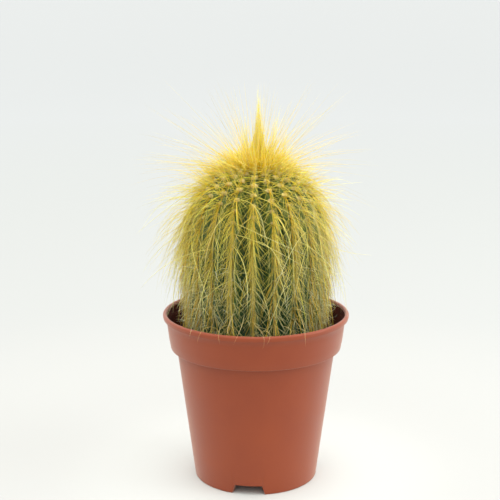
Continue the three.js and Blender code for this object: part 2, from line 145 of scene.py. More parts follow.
# Meridian: the line of a rib's crest
def smooth_line(points, count):
    """Even points on a Catmull-Rom curve through the given ones."""
    p = np.array(points, float)
    p = np.vstack([2 * p[0] - p[1], p, 2 * p[-1] - p[-2]])
    t = np.linspace(0, 1, 40, endpoint=False)[:, None]
    pieces = []
    for a, b, c, d in zip(p, p[1:], p[2:], p[3:]):
        pieces.append(0.5 * (2 * b + (c - a) * t + (2 * a - 5 * b + 4 * c - d) * t**2
                             + (3 * b - a - 3 * c + d) * t**3))
    line = np.vstack(pieces + [p[-2:-1]])
    run = np.concatenate([[0], np.cumsum(np.linalg.norm(np.diff(line, axis=0), axis=1))])
    even = np.linspace(0, run[-1], count)
    return np.column_stack([np.interp(even, run, line[:, i]) for i in (0, 1)]), run[-1]


meridian, meridian_length = smooth_line(CREST, CREST_STEPS)
meridian_way = np.gradient(meridian, axis=0)
meridian_way /= np.linalg.norm(meridian_way, axis=1)[:, None]


def on_meridian(share):
    """Radius, height and upward direction at shares of the meridian's length."""
    at = np.clip(np.asarray(share, float), 0, 1) * (len(meridian) - 1)
    rows = np.arange(len(meridian))
    place = np.stack([np.interp(at, rows, meridian[:, i]) for i in (0, 1)], -1)
    way = np.stack([np.interp(at, rows, meridian_way[:, i]) for i in (0, 1)], -1)
    return place, way / np.linalg.norm(way, axis=-1, keepdims=True)


def share_at_height(height):
    """Share of the meridian at a height on the plant's side."""
    return np.interp(height, meridian[:, 1], np.linspace(0, 1, len(meridian)))


def outward_of(azimuth):
    """Level directions away from the axis at azimuths in radians."""
    return np.stack([np.sin(azimuth), -np.cos(azimuth), np.zeros_like(azimuth)], -1)


def even_azimuths(first, count):
    """Azimuths in radians, evenly round the axis, from a first one in degrees."""
    return math.radians(first) + np.arange(count) * 2 * math.pi / count


def crest_frames(share, azimuth):
    """Points on the crest line turned to azimuths, with the directions out, up along it and across."""
    place, way = on_meridian(share)
    outward = outward_of(azimuth)
    at = outward * place[..., :1] + UP * place[..., 1:]
    up = outward * way[..., :1] + UP * way[..., 1:]
    out = outward * way[..., 1:] - UP * way[..., :1]
    across = np.stack([np.cos(azimuth), np.sin(azimuth), np.zeros_like(azimuth)], -1)
    return at, out, up, across


def smoothstep(value, low, high):
    """0 up to low, 1 from high on, and a soft rise between them."""
    t = np.clip((np.asarray(value, float) - low) / (high - low), 0, 1)
    return t * t * (3 - 2 * t)


def unit(vectors):
    """Vectors brought to length 1."""
    return vectors / np.maximum(np.linalg.norm(vectors, axis=-1, keepdims=True), 1e-9)


# Meshes and materials
def new_object(name, data):
    """An object in the scene that holds a mesh, a light or a camera."""
    made = bpy.data.objects.new(name, data)
    bpy.context.scene.collection.objects.link(made)
    return made


@contextmanager
def editing(mesh):
    """A mesh opened for bmesh calls, and written back at the end."""
    work = bmesh.new()
    work.from_mesh(mesh)
    yield work
    work.to_mesh(mesh)
    work.free()


def new_piece(name, points, faces, nodes=(), colours=None, smooth=True):
    """A mesh object that rides on the part and stands for nodes of it. Its points come in millimetres."""
    mesh = bpy.data.meshes.new(name)
    points = np.asarray(points, np.float32) * MM
    faces = np.asarray(faces, np.int32)
    size = faces.shape[1]
    mesh.vertices.add(len(points))
    mesh.vertices.foreach_set("co", points.ravel())
    mesh.loops.add(faces.size)
    mesh.loops.foreach_set("vertex_index", faces.ravel())
    mesh.polygons.add(len(faces))
    mesh.polygons.foreach_set("loop_start", np.arange(0, faces.size, size, dtype=np.int32))
    mesh.update(calc_edges=True)
    mesh.polygons.foreach_set("use_smooth", np.full(len(faces), smooth))
    if colours is not None:
        layer = mesh.color_attributes.new("tint", "FLOAT_COLOR", "POINT")
        rgba = np.column_stack([colours, np.ones(len(colours))]).astype(np.float32)
        layer.data.foreach_set("color", rgba.ravel())
    mesh.validate()
    piece = new_object(name, mesh)
    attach(piece, "root")
    if nodes:
        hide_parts(*nodes)
    return piece


def set_values(node, values):
    """Sets values on a node's sockets or, where it has no such socket, on the node itself."""
    for name, value in values.items():
        socket = name.replace("_", " ")
        if socket in node.inputs:
            node.inputs[socket].default_value = value
        else:
            setattr(node, name, value)


class NodeTree:
    """The nodes of a material or of the world."""

    def __init__(self, owner):
        owner.use_nodes = True
        self.nodes = owner.node_tree.nodes
        self.links = owner.node_tree.links

    def node(self, kind, **values):
        node = self.nodes.new("ShaderNode" + kind)
        set_values(node, values)
        return node

    def link(self, source, socket, target, name):
        self.links.new(source.outputs[socket], target.inputs[name])


class Paint(NodeTree):
    """A Principled material."""

    def __init__(self, name, **values):
        self.material = bpy.data.materials.new(name)
        super().__init__(self.material)
        self.shader = self.nodes["Principled BSDF"]
        set_values(self.shader, values)

    def object_place(self):
        return self.node("TexCoord")

    def noise(self, scale, detail, roughness=0.55):
        noise = self.node("TexNoise", Scale=scale, Detail=detail, Roughness=roughness)
        self.link(self.object_place(), "Object", noise, "Vector")
        return noise

    def ramp(self, source, socket, stops):
        """A colour ramp with stops of place and linear colour."""
        ramp = self.node("ValToRGB")
        elements = ramp.color_ramp.elements
        while len(elements) < len(stops):
            elements.new(0.5)
        for element, (place, colour) in zip(elements, stops):
            element.position = place
            element.color = (*colour, 1)
        self.link(source, socket, ramp, "Fac")
        return ramp

    def vary_roughness(self, noise, low, high):
        """Roughness that follows the middle range of a noise, between two limits."""
        span = self.node("MapRange", From_Min=0.3, From_Max=0.7, To_Min=low, To_Max=high)
        self.link(noise, "Fac", span, "Value")
        self.link(span, "Result", self.shader, "Roughness")

    def bump(self, source, socket, distance, strength, under=None):
        """A bump of a height in metres, on top of another one if given."""
        bump = self.node("Bump", Distance=distance, Strength=strength)
        self.link(source, socket, bump, "Height")
        if under is not None:
            self.link(under, "Normal", bump, "Normal")
        return bump

    def finished(self, colour, bump=None, socket="Color"):
        """The material, once a colour and a bump are on its shader."""
        self.link(colour, socket, self.shader, "Base Color")
        if bump is not None:
            self.link(bump, "Normal", self.shader, "Normal")
        return self.material


# Places of the colour sockets on a Mix node, which has other sockets of the same names
MIX_A, MIX_B, MIX_RESULT = 6, 7, 2


def linear(*rgb):
    """Linear colour from 8-bit display values."""
    c = np.array(rgb) / 255
    return np.where(c <= 0.04045, c / 12.92, ((c + 0.055) / 1.055) ** 2.4)


# The floor's colours at distances from the pot's axis, in metres, with painted light: a little paler near the
# pot, to lift the shade the pot casts there, and tuned further out to set how bright the lit floor comes out.
FLOOR_PAINTED_LIGHT = [(0.020, linear(213, 217, 213)), (0.034, linear(203, 206, 202)),
                 (0.055, linear(187, 188, 185)), (0.08, linear(184, 185, 182)),
                 (0.12, linear(183, 184, 181)), (0.18, linear(177, 179, 177)),
                 (0.5, linear(178, 181, 179)), (0.9, linear(181, 184, 184))]


# Pot
def arc(centre, size, angles, steps):
    """Points on part of an ellipse, from one angle to another."""
    turn = np.radians(np.linspace(*angles, steps + 1))
    return [(centre[0] + size[0] * math.cos(a), centre[1] + size[1] * math.sin(a)) for a in turn]


def pot_profile():
    """The pot's closed outline as radius and height, from the floor's underside round to its top."""
    collar_foot = POT_HEIGHT - COLLAR_HEIGHT
    lip_foot = POT_HEIGHT - LIP_HEIGHT
    floor_top = FLOOR_UNDERSIDE + FLOOR_THICKNESS
    foot_inside = FOOT_RADIUS - FOOT_RING_WIDTH
    foot_outside = FOOT_RADIUS + FOOT_ROUNDING
    slope = (BODY_TOP_RADIUS - foot_outside) / (collar_foot - FOOT_ROUNDING)
    wall = [(foot_outside + slope * (z - FOOT_ROUNDING), z) for z in (FLOOR_UNDERSIDE, 8, 14, 20, 26, 32)]
    inner = [(r - WALL, z) for r, z in reversed(wall[1:])]
    return [
        (AXIS_GAP, FLOOR_UNDERSIDE), (7, FLOOR_UNDERSIDE), (foot_inside - 0.3, FLOOR_UNDERSIDE),
        *arc((foot_inside - 0.3, FLOOR_UNDERSIDE - 0.3), (0.3, 0.3), (90, 0), 3),
        *arc((foot_inside + 0.25, 0.25), (0.25, 0.25), (180, 270), 3),
        *arc((FOOT_RADIUS, FOOT_ROUNDING), (FOOT_ROUNDING, FOOT_ROUNDING), (-90, 0), 6),
        *wall,
        *arc((BODY_TOP_RADIUS + 0.35, collar_foot - 0.35), (0.35, 0.35), (180, 90), 4),
        *arc((COLLAR_FOOT_RADIUS - 0.25, collar_foot + 0.25), (0.25, 0.25), (-90, -10), 5),
        (COLLAR_FOOT_RADIUS + 0.45, collar_foot + 2.6),
        (COLLAR_TOP_RADIUS - 0.35, lip_foot - 1.8),
        (COLLAR_TOP_RADIUS, lip_foot - 0.12), (COLLAR_TOP_RADIUS + 0.12, lip_foot),
        (RIM_RADIUS - 0.15, lip_foot),
        *arc((RIM_RADIUS - LIP_WIDTH / 2, POT_HEIGHT - LIP_ROUNDING), (LIP_WIDTH / 2, LIP_ROUNDING),
             (0, 185), 12),
        (COLLAR_TOP_RADIUS - WALL, lip_foot - 0.4),
        (COLLAR_FOOT_RADIUS - WALL + 0.5, collar_foot + 3.2),
        *arc((COLLAR_FOOT_RADIUS - WALL - 0.5, collar_foot + WALL + 0.5), (0.5, 0.5), (-10, -90), 4),
        *arc((BODY_TOP_RADIUS - WALL + 0.4, collar_foot + WALL - 0.5), (0.4, 0.4), (90, 180), 4),
        *inner,
        *arc((FOOT_RADIUS - 0.6, floor_top + 0.7), (0.7, 0.7), (0, -90), 5),
        (7, floor_top), (AXIS_GAP, floor_top),
    ]


def lathe(profile, azimuths, lift=None):
    """A closed surface of revolution; lift(azimuth) gives the height below which its foot is cut away."""
    profile = np.array(profile, float)
    count, rows = len(azimuths), len(profile)
    outward = outward_of(np.asarray(azimuths))
    heights = np.repeat(profile[None, :, 1], count, 0)
    if lift is not None:
        heights = np.maximum(heights, lift(np.asarray(azimuths))[:, None])
    points = outward[:, None, :] * profile[None, :, :1]
    points[..., 2] = heights
    i = np.arange(count)[:, None]
    j = np.arange(rows)[None, :]
    near, far = i * rows, ((i + 1) % count) * rows
    quads = np.stack([near + j, far + j, far + (j + 1) % rows, near + (j + 1) % rows], -1)
    return points.reshape(-1, 3), quads.reshape(-1, 4)


def notch_lift(azimuth):
    """How high the foot is cut away round the pot: the notches narrow towards their upper edge."""
    pitch = 2 * math.pi / DRAIN_COUNT
    off = (azimuth - math.radians(FIRST_DRAIN) + pitch / 2) % pitch - pitch / 2
    inside = (NOTCH_WIDTH + NOTCH_SLANT) / 2 - np.abs(off) * FOOT_RADIUS
    return FLOOR_UNDERSIDE * np.clip(inside / NOTCH_SLANT, 0, 1) ** 0.8


def pot_azimuths():
    """Azimuths of the pot's columns: even ones, and close ones at the sides of each notch."""
    half = (NOTCH_WIDTH + NOTCH_SLANT) / 2 / FOOT_RADIUS
    even = np.linspace(0, 2 * math.pi, POT_COLUMNS, endpoint=False)
    extra = []
    for middle in even_azimuths(FIRST_DRAIN, DRAIN_COUNT):
        for side in (-1, 1):
            for inside in (-0.05, 0, 0.12, 0.3, 0.5, 0.7, 0.88, NOTCH_SLANT, 1.1):
                extra.append(middle + side * (half - inside / FOOT_RADIUS))
    extra = np.array(extra) % (2 * math.pi)
    gap = np.abs((even[:, None] - extra[None, :] + math.pi) % (2 * math.pi) - math.pi).min(1)
    return np.sort(np.concatenate([even[gap > 0.004], extra]))


def close_axis(piece):
    """Welds the points next to the axis, where a lathe's outline starts and ends."""
    with editing(piece.data) as work:
        bmesh.ops.remove_doubles(work, verts=work.verts, dist=2 * AXIS_GAP * MM)
        bmesh.ops.recalc_face_normals(work, faces=work.faces)


def cut_holes(piece, cutters):
    """Cuts closed meshes out of a piece, applies the cuts and removes the cutters."""
    for cutter in cutters:
        modifier = piece.modifiers.new("cut", "BOOLEAN")
        modifier.operation = "DIFFERENCE"
        modifier.solver = "EXACT"
        modifier.object = cutter
    cut = bpy.data.meshes.new_from_object(piece.evaluated_get(bpy.context.evaluated_depsgraph_get()))
    piece.modifiers.clear()
    piece.data = cut
    for cutter in cutters:
        bpy.data.objects.remove(cutter, do_unlink=True)


def drain_cutter(azimuth):
    """An upright cylinder through the pot's floor, where a drain hole is."""
    place = Matrix.Translation([c * MM for c in (DRAIN_HOLE_CENTRE * math.sin(azimuth),
                                                 -DRAIN_HOLE_CENTRE * math.cos(azimuth),
                                                 FLOOR_UNDERSIDE + FLOOR_THICKNESS / 2)])
    mesh = bpy.data.meshes.new("cutter")
    with editing(mesh) as work:
        bmesh.ops.create_cone(work, cap_ends=True, segments=40, radius1=DRAIN_HOLE_RADIUS * MM,
                              radius2=DRAIN_HOLE_RADIUS * MM, depth=3 * MM, matrix=place)
    return new_object("cutter", mesh)


def make_pot():
    """The pot in one piece, with its notched foot, raised floor, drain holes, collar and lip."""
    points, quads = lathe(pot_profile(), pot_azimuths(), notch_lift)
    piece = new_piece("pot_shell", points, quads, ["pot"])
    close_axis(piece)
    cut_holes(piece, [drain_cutter(azimuth) for azimuth in even_azimuths(FIRST_DRAIN, DRAIN_COUNT)])
    piece.data.materials.append(pot_plastic())
    piece.data.materials.append(painted_shade_plastic())
    # Painted shade: the inward faces inside the collar, below the lip's rounding, get the dark copy of the
    # plastic.
    for face in piece.data.polygons:
        inward = face.center.x * face.normal.x + face.center.y * face.normal.y < 0
        if inward and (POT_HEIGHT - COLLAR_HEIGHT) * MM < face.center.z < (POT_HEIGHT - LIP_ROUNDING) * MM:
            face.material_index = 1
    shade_by_angle(piece, 40)


def shade_by_angle(piece, degrees):
    """Smooth shading, with edges sharper than an angle kept sharp."""
    limit = math.radians(degrees)
    with editing(piece.data) as work:
        for face in work.faces:
            face.smooth = True
        for edge in work.edges:
            edge.smooth = len(edge.link_faces) == 2 and edge.calc_face_angle(0) < limit


def pot_plastic():
    """Terracotta coloured satin plastic, with a fine moulded grain and faint cloudiness."""
    paint = Paint("pot_plastic", Roughness=0.42, IOR=1.49, Sheen_Weight=0.36, Sheen_Roughness=0.45,
                  Sheen_Tint=(1.0, 0.8, 0.68, 1.0))
    cloud = paint.noise(90, 4)
    colour = paint.ramp(cloud, "Fac", [(0.3, linear(138, 53, 9)), (0.7, linear(145, 59, 13))])
    paint.vary_roughness(cloud, 0.38, 0.5)
    wave = paint.bump(cloud, "Fac", 0.0004, 0.06)
    return paint.finished(colour, paint.bump(paint.noise(1800, 2), "Fac", 0.00004, 0.25, under=wave))


def painted_shade_plastic():
    """The same plastic inside the collar: dull, with painted shade that makes it dark, and a fine mottle."""
    paint = Paint("painted_shade_plastic", Roughness=0.85, Specular_IOR_Level=0.12)
    inner_mottle = paint.noise(900, 5, 0.7)
    colour = paint.ramp(inner_mottle, "Fac", [(0.3, linear(44, 17, 11)), (0.62, linear(88, 36, 24))])
    return paint.finished(colour, paint.bump(inner_mottle, "Fac", 0.0002, 0.4))


# Soil
def make_soil():
    """Peat that fills the pot: one closed body with a crumbly top, and crumbs that lie on it."""
    azimuths = np.linspace(0, 2 * math.pi, SOIL_COLUMNS, endpoint=False)
    bottom = FLOOR_UNDERSIDE + FLOOR_THICKNESS + 0.4
    top = np.linspace(SOIL_RADIUS, 16.2, 16)
    profile = [(AXIS_GAP, bottom), (15.7, bottom), (19.9, 36.0), (21.6, 38.0),
               (SOIL_RADIUS, SOIL_LEVEL - 0.5), *[(r, SOIL_LEVEL) for r in top],
               (15.6, 38.2), (13.6, 36.0), (9.4, 34.0), (AXIS_GAP, 33.6)]
    points, quads = lathe(profile, azimuths)
    is_top = np.abs(points[:, 2] - SOIL_LEVEL) < 1e-6
    lumps = rng.normal(0, 0.32, is_top.sum())
    points[is_top, 2] += np.clip(lumps, -0.7, 0.7)
    points[is_top, :2] += rng.normal(0, 0.08, (is_top.sum(), 2))
    piece = new_piece("soil_peat", points, quads, ["soil"], smooth=False)
    close_axis(piece)
    with editing(piece.data) as work:
        for _ in range(CRUMBS):
            add_crumb(work)
    piece.data.materials.append(peat())


def add_crumb(work):
    """One lump of peat, of uneven shape, half sunk in the soil."""
    size = 0.28 + 0.75 * rng.random() ** 2.5
    radius = CRUMB_RING + CRUMB_RING_WIDTH * rng.random() ** 0.8
    azimuth = 2 * math.pi * rng.random()
    made = bmesh.ops.create_icosphere(work, subdivisions=1, radius=1.0)["verts"]
    stretch = rng.uniform(0.6, 1.25, 3)
    for vert in made:
        jitter = 1 + rng.uniform(-0.22, 0.22)
        vert.co = [c * s * jitter * size for c, s in zip(vert.co, stretch)]
        x, y, z = vert.co
        vert.co = (np.array([x + radius * math.sin(azimuth), y - radius * math.cos(azimuth),
                             z + SOIL_LEVEL + 0.1]) * MM)


def peat():
    """Moist dark peat: red-brown, with paler fibres and crumbs."""
    paint = Paint("peat", Roughness=0.92)
    grain = paint.noise(700, 6, 0.7)
    colour = paint.ramp(grain, "Fac", [(0.3, linear(38, 20, 14)), (0.5, linear(66, 36, 24)),
                                       (0.66, linear(98, 60, 40)), (0.8, linear(140, 100, 70))])
    return paint.finished(colour, paint.bump(grain, "Fac", 0.0005, 0.9))


# Areoles: their places on the ribs
def areole_places():
    """A row for each areole: share of the meridian, azimuth, share of the rib's row, and rib."""
    low = share_at_height(LOWEST_AREOLE)
    rows = []
    for rib, azimuth in enumerate(even_azimuths(FIRST_RIB, RIB_COUNT)):
        shift = (rib * SPIRAL_SHIFT % RIB_COUNT) / RIB_COUNT
        for i in range(AREOLES_PER_RIB):
            share = (i + shift) / AREOLES_PER_RIB
            rows.append((low + (TOP_SHARE - low) * share ** 0.96, azimuth, share, rib))
    return np.array(rows)


areoles = areole_places()


# Stem
def furrow_depth(radius, height):
    """Depth of the furrows between the ribs: none in the soil or at the very top."""
    return RIB_DEPTH * smoothstep(height, SOIL_LEVEL, SOIL_LEVEL + 5) * smoothstep(radius, 1, 12)


def make_stem():
    """The ribbed body, with a low tubercle under every areole."""
    columns = COLUMNS_PER_RIB * RIB_COUNT
    shares = np.linspace(0, 0.9985, STEM_ROWS)
    share_grid, azimuth_grid = np.meshgrid(shares, even_azimuths(FIRST_RIB, columns), indexing="ij")
    at, out, _, _ = crest_frames(share_grid, azimuth_grid)
    across_rib = np.abs((np.arange(columns) / COLUMNS_PER_RIB + 0.5) % 1 - 0.5) * 2
    place, _ = on_meridian(shares)
    depth = furrow_depth(place[:, 0], place[:, 1])[:, None]
    sink = depth * across_rib[None, :] ** 1.6
    rib_of = (np.round(np.arange(columns) / COLUMNS_PER_RIB) % RIB_COUNT).astype(int)
    swell = np.zeros_like(sink)
    for rib in range(RIB_COUNT):
        own = areoles[areoles[:, 3] == rib, 0] * meridian_length
        near = np.abs(shares[:, None] * meridian_length - own[None, :]).min(1)
        bump = TUBERCLE_HEIGHT * np.exp(-((near / TUBERCLE_LENGTH) ** 2))
        swell[:, rib_of == rib] = bump[:, None]
    swell *= np.exp(-((across_rib[None, :] / 0.5) ** 2)) * smoothstep(place[:, 0], 3, 9)[:, None]
    points = at + out * (swell - sink)[..., None]
    flat = points.reshape(-1, 3)
    bottom = len(flat)
    top = bottom + 1
    flat = np.vstack([flat, [[0, 0, STEM_UNDERSIDE]], [[0, 0, STEM_TOP]]])
    i = np.arange(STEM_ROWS - 1)[:, None]
    j = np.arange(columns)[None, :]
    k = (j + 1) % columns
    quads = np.stack([i * columns + j, i * columns + k, (i + 1) * columns + k, (i + 1) * columns + j], -1)
    quads = quads.reshape(-1, 4)
    triangles = np.vstack([quads[:, [0, 1, 2]], quads[:, [0, 2, 3]]])
    ring = np.arange(columns)
    ahead = (ring + 1) % columns
    last = (STEM_ROWS - 1) * columns
    caps = np.vstack([np.column_stack([np.full(columns, bottom), ahead, ring]),
                      np.column_stack([np.full(columns, top), last + ring, last + ahead])])
    furrow = np.append(np.broadcast_to(across_rib, sink.shape).ravel(), [1, 0])
    height = np.append(np.broadcast_to(place[:, 1:], sink.shape).ravel(), [STEM_UNDERSIDE, STEM_TOP])
    colours = stem_colours(furrow, height)
    piece = new_piece("stem_flesh", flat, np.vstack([triangles, caps]), ["cactus_stem"], colours)
    piece.data.materials.append(stem_skin())


def stem_colours(furrow, height):
    """Painted shade makes the furrows deep green; the skin is also deep green lower down, and yellow-green on
    the crests and near the top.
    """
    painted_furrow_shade, mid, crest = (linear(*c) for c in ((36, 64, 24), (66, 94, 34), (108, 124, 46)))
    low, old = (linear(*c) for c in ((50, 86, 52), (120, 112, 70)))
    # Painted shade: the green darkens the deeper a point lies in a furrow.
    f = smoothstep(furrow, 0.1, 0.95)[:, None]
    base = mid * (1 - f) + painted_furrow_shade * f
    base = base + (crest - base) * (smoothstep(height, 60, 84)[:, None] * (1 - 0.75 * f) * 0.75)
    base = base + (low - base) * (1 - smoothstep(height, 44, 56))[:, None] * 0.6
    return base + (old - base) * (1 - smoothstep(height, 38.5, 41.5))[:, None] * 0.8


def stem_skin():
    """Waxy green skin with fine pale speckles."""
    paint = Paint("stem_skin", IOR=1.42, Subsurface_Weight=0.12, Subsurface_Scale=0.0012,
                  Subsurface_Radius=(0.6, 1.0, 0.25), Coat_Weight=0.08, Coat_Roughness=0.35)
    tint = paint.node("Attribute", attribute_name="tint")
    mottle = paint.noise(260, 5, 0.6)
    shade = paint.ramp(mottle, "Fac", [(0.3, (0.72, 0.76, 0.7)), (0.72, (1.2, 1.16, 1.12))])
    mix = paint.node("Mix", data_type="RGBA", blend_type="MULTIPLY", Factor=1)
    paint.link(tint, "Color", mix, MIX_A)
    paint.link(shade, "Color", mix, MIX_B)
    paint.vary_roughness(mottle, 0.42, 0.62)
    wave = paint.bump(mottle, "Fac", 0.0003, 0.25)
    fine = paint.bump(paint.noise(2600, 2), "Fac", 0.00006, 0.3, under=wave)
    return paint.finished(mix, fine, socket=MIX_RESULT)


# Spines
def off_surface(points):
    """Distance of points from the crest surface, outside positive, and the way out of it."""
    radius = np.hypot(points[..., 0], points[..., 1])
    flat = np.stack([radius, points[..., 2]], -1).reshape(-1, 2)
    line = meridian[::SURFACE_STRIDE]
    nearest = np.empty(len(flat), int)
    for start in range(0, len(flat), SURFACE_BATCH):
        batch = slice(start, start + SURFACE_BATCH)
        nearest[batch] = ((flat[batch][:, None, :] - line[None]) ** 2).sum(-1).argmin(1)
    foot = line[nearest]
    way = meridian_way[::SURFACE_STRIDE][nearest]
    out = np.column_stack([way[:, 1], -way[:, 0]])
    distance = ((flat - foot) * out).sum(1).reshape(radius.shape)
    outward = np.stack([points[..., 0], points[..., 1]], -1) / np.maximum(radius, 1e-6)[..., None]
    out = out.reshape(*radius.shape, 2)
    normal = np.concatenate([outward * out[..., :1], out[..., 1:]], -1)
    return distance, normal


def trace(roots, ways, lengths, fall, curl, steps, clearance):
    """Centre lines of spines, which leave their roots along their ways, fall, curl and stay off the plant."""
    count = len(roots)
    lines = np.empty((count, steps + 1, 3))
    lines[:, 0] = roots
    way = unit(ways)
    step = (np.asarray(lengths) / steps)[:, None]
    fall = np.broadcast_to(np.asarray(fall, float), (count,))[:, None]
    clearance = np.broadcast_to(np.asarray(clearance, float), (count,))
    down = np.array([0, 0, -1.0])
    for i in range(1, steps + 1):
        way = unit(way + down * fall / steps + curl / steps)
        point = lines[:, i - 1] + way * step
        distance, normal = off_surface(point)
        rise = np.maximum(0, clearance * min(1, i / 2) - distance)[:, None]
        point = point + normal * rise
        inward = np.minimum(0, (way * normal).sum(1))[:, None]
        way = unit(way - normal * inward * (rise > 0))
        lines[:, i] = clear_of_pot(point)
    return lines


def clear_of_pot(points):
    """Points moved out of the soil and of the pot's wall: up over the lip, or to where they are clear."""
    points = points.copy()
    points[:, 2] = np.maximum(points[:, 2], SOIL_LEVEL + SOIL_GAP)
    radius = np.hypot(points[:, 0], points[:, 1])
    low = points[:, 2] < POT_HEIGHT + LIP_GAP
    in_wall = low & (radius > INSIDE_COLLAR) & (radius < RIM_RADIUS + LIP_GAP)
    shrink = np.where(in_wall & (points[:, 2] < LIP_CATCH), INSIDE_COLLAR / np.maximum(radius, 1e-6), 1)
    points[:, :2] *= shrink[:, None]
    points[in_wall & (points[:, 2] >= LIP_CATCH), 2] = POT_HEIGHT + LIP_GAP
    return points


def tubes(lines, radii):
    """Closed three-sided tubes with pointed tips, round centre lines.

    Gives the points, the triangles, and each point's tube and place along it.
    """
    count, stops = lines.shape[:2]
    way = unit(np.gradient(lines, axis=1))
    helper = np.where(np.abs(way[:, :1, 2:]) > 0.8, [1.0, 0, 0], [0, 0, 1.0])
    side = unit(np.cross(way, helper))
    over = np.cross(way, side)
    turn = even_azimuths(0, 3)
    ring = (lines[:, :-1, None] + radii[:, :-1, None, None]
            * (side[:, :-1, None] * np.cos(turn)[:, None] + over[:, :-1, None] * np.sin(turn)[:, None]))
    body = ring.reshape(count, -1, 3)
    points = np.concatenate([body, lines[:, -1:]], 1)
    size = points.shape[1]
    faces = [[0, 2, 1]]
    for i in range(stops - 2):
        for j in range(3):
            k = (j + 1) % 3
            a, b, c, d = 3 * i + j, 3 * i + k, 3 * i + 3 + k, 3 * i + 3 + j
            faces += [[a, b, c], [a, c, d]]
    last = 3 * (stops - 2)
    faces += [[last + j, last + (j + 1) % 3, size - 1] for j in range(3)]
    faces = np.array(faces)[None] + np.arange(count)[:, None, None] * size
    along = np.append(np.repeat(np.arange(stops - 1), 3), stops - 1) / (stops - 1)
    owner = np.repeat(np.arange(count), size)
    return points.reshape(-1, 3), faces.reshape(-1, 3), owner, np.tile(along, count)


def taper(root, stops, count):
    """Radii along spines: slowly thinner, then a point."""
    shape = 0.15 + 0.85 * (1 - np.linspace(0, 1, stops) ** 1.6)
    return np.broadcast_to(root, (count,))[:, None] * shape


def within_reach(lines):
    """Lines shortened so that none ends further from the axis, or higher, than the plant reaches."""
    root = lines[:, :1]
    wide = np.abs(lines[..., :2]).max((1, 2))
    high = lines[..., 2].max(1)
    start = np.abs(root[:, 0, :2]).max(1)
    share = np.minimum(1, (REACH - start) / np.maximum(wide - start, 1e-6))
    share = np.minimum(share, (TOP_REACH - root[:, 0, 2]) / np.maximum(high - root[:, 0, 2], 1e-6))
    return root + (lines - root) * share[:, None, None]


class Bunch:
    """Spines gathered for one piece."""

    def __init__(self):
        self.points = []
        self.faces = []
        self.colours = []
        self.size = 0

    def add(self, lines, radius, root_colour, tip_colour, variety):
        """Adds tapered spines along lines, coloured from root to tip, each in a shade of its own."""
        count, stops = lines.shape[:2]
        if not count:
            return
        points, faces, owner, along = tubes(lines, taper(radius, stops, count))
        root = np.broadcast_to(np.array(root_colour, float), (count, 3))
        tip = np.broadcast_to(np.array(tip_colour, float), (count, 3))
        shade = np.exp(rng.normal(0, variety, (count, 1)))
        warm = np.exp(rng.normal(0, 0.5 * variety, (count, 1)) * np.array([[0.4, 0, -1.2]]))
        t = along[:, None]
        colour = (root[owner] * (1 - t) + tip[owner] * t) * (shade * warm)[owner]
        self.add_mesh(points, faces, colour)

    def add_mesh(self, points, faces, colours):
        self.points.append(points)
        self.faces.append(faces + self.size)
        self.colours.append(np.clip(colours, 0, 1))
        self.size += len(points)

    def piece(self, name, slot, nodes, material):
        made = new_piece(name, np.vstack(self.points), np.vstack(self.faces), nodes,
                         np.vstack(self.colours))
        made.data.materials.append(material)


def spine_material(name, rough):
    """Horny, slightly translucent bristle."""
    paint = Paint(name, Roughness=rough, IOR=1.5, Specular_IOR_Level=0.03,
                  Subsurface_Weight=0.5, Subsurface_Scale=0.0005, Subsurface_Radius=(1.0, 0.8, 0.4))
    return paint.finished(paint.node("Attribute", attribute_name="tint"))


# Colours of the spines, the hairs and the wool
BURNT_GOLD = linear(242, 176, 0)
DEEP_GOLD = linear(252, 194, 0)
GOLD = linear(252, 203, 20)
FLAME_GOLD = linear(255, 214, 24)
FLAME_TIP = linear(252, 220, 50)
PALE_GOLD = linear(250, 220, 78)
DULL_GOLD = linear(218, 194, 116)
AMBER = linear(196, 146, 50)
STRAW = linear(186, 172, 54)
OLIVE_GOLD = linear(212, 184, 58)
CREAM = linear(230, 212, 92)
TAN = linear(212, 198, 124)
PALE_TAN = linear(240, 230, 156)
BONE = linear(190, 176, 116)
RIM_HAIR = linear(228, 172, 110)
PALE = linear(250, 244, 160)
FELT = linear(218, 198, 130)
DULL_FELT = linear(168, 150, 92)


def blend_colours(a, b, share):
    """Colours from a at share 0 to b at share 1, one for each share."""
    share = np.asarray(share)[:, None]
    return a * (1 - share) + b * share


def add_radials(bunch, rows):
    """The fine straight spines that comb down and outwards on both sides of every crest."""
    at, out, up, across = crest_frames(rows[:, 0], rows[:, 1])
    share = rows[:, 2]
    count = len(rows)
    high = smoothstep(share, 0.6, 0.9)
    gold = smoothstep(share, 0.82, 1.08)
    fresh = smoothstep(share, 0.05, 0.42)
    root_colour = blend_colours(BONE, blend_colours(STRAW, OLIVE_GOLD, gold), fresh)
    tip_colour = blend_colours(TAN, blend_colours(CREAM, PALE_GOLD, gold), fresh)
    for side in (-1, 1):
        for i in range(RADIALS_A_SIDE):
            angle = np.radians(26 + 11 * i + (8 + 8 * i) * high + rng.normal(0, 4, count))
            flat = up * (-np.cos(angle))[:, None] + across * (side * np.sin(angle))[:, None]
            lift = rng.uniform(0.15, 0.6, count) + 0.15 * high
            way = flat + out * lift[:, None]
            length = rng.uniform(4.0, 6.6, count) * (1 + 0.2 * high)
            curl = rng.normal(0, 0.03, (count, 3)) - out * 0.12
            start = at + out * 0.1 + across * (side * 0.35) - up * rng.uniform(-0.6, 0.6, (count, 1))
            lines = trace(start, way, length, fall=0.12, curl=curl, steps=4, clearance=0.1)
            bunch.add(lines, rng.uniform(0.05, 0.085, count), root_colour, tip_colour, 0.26)


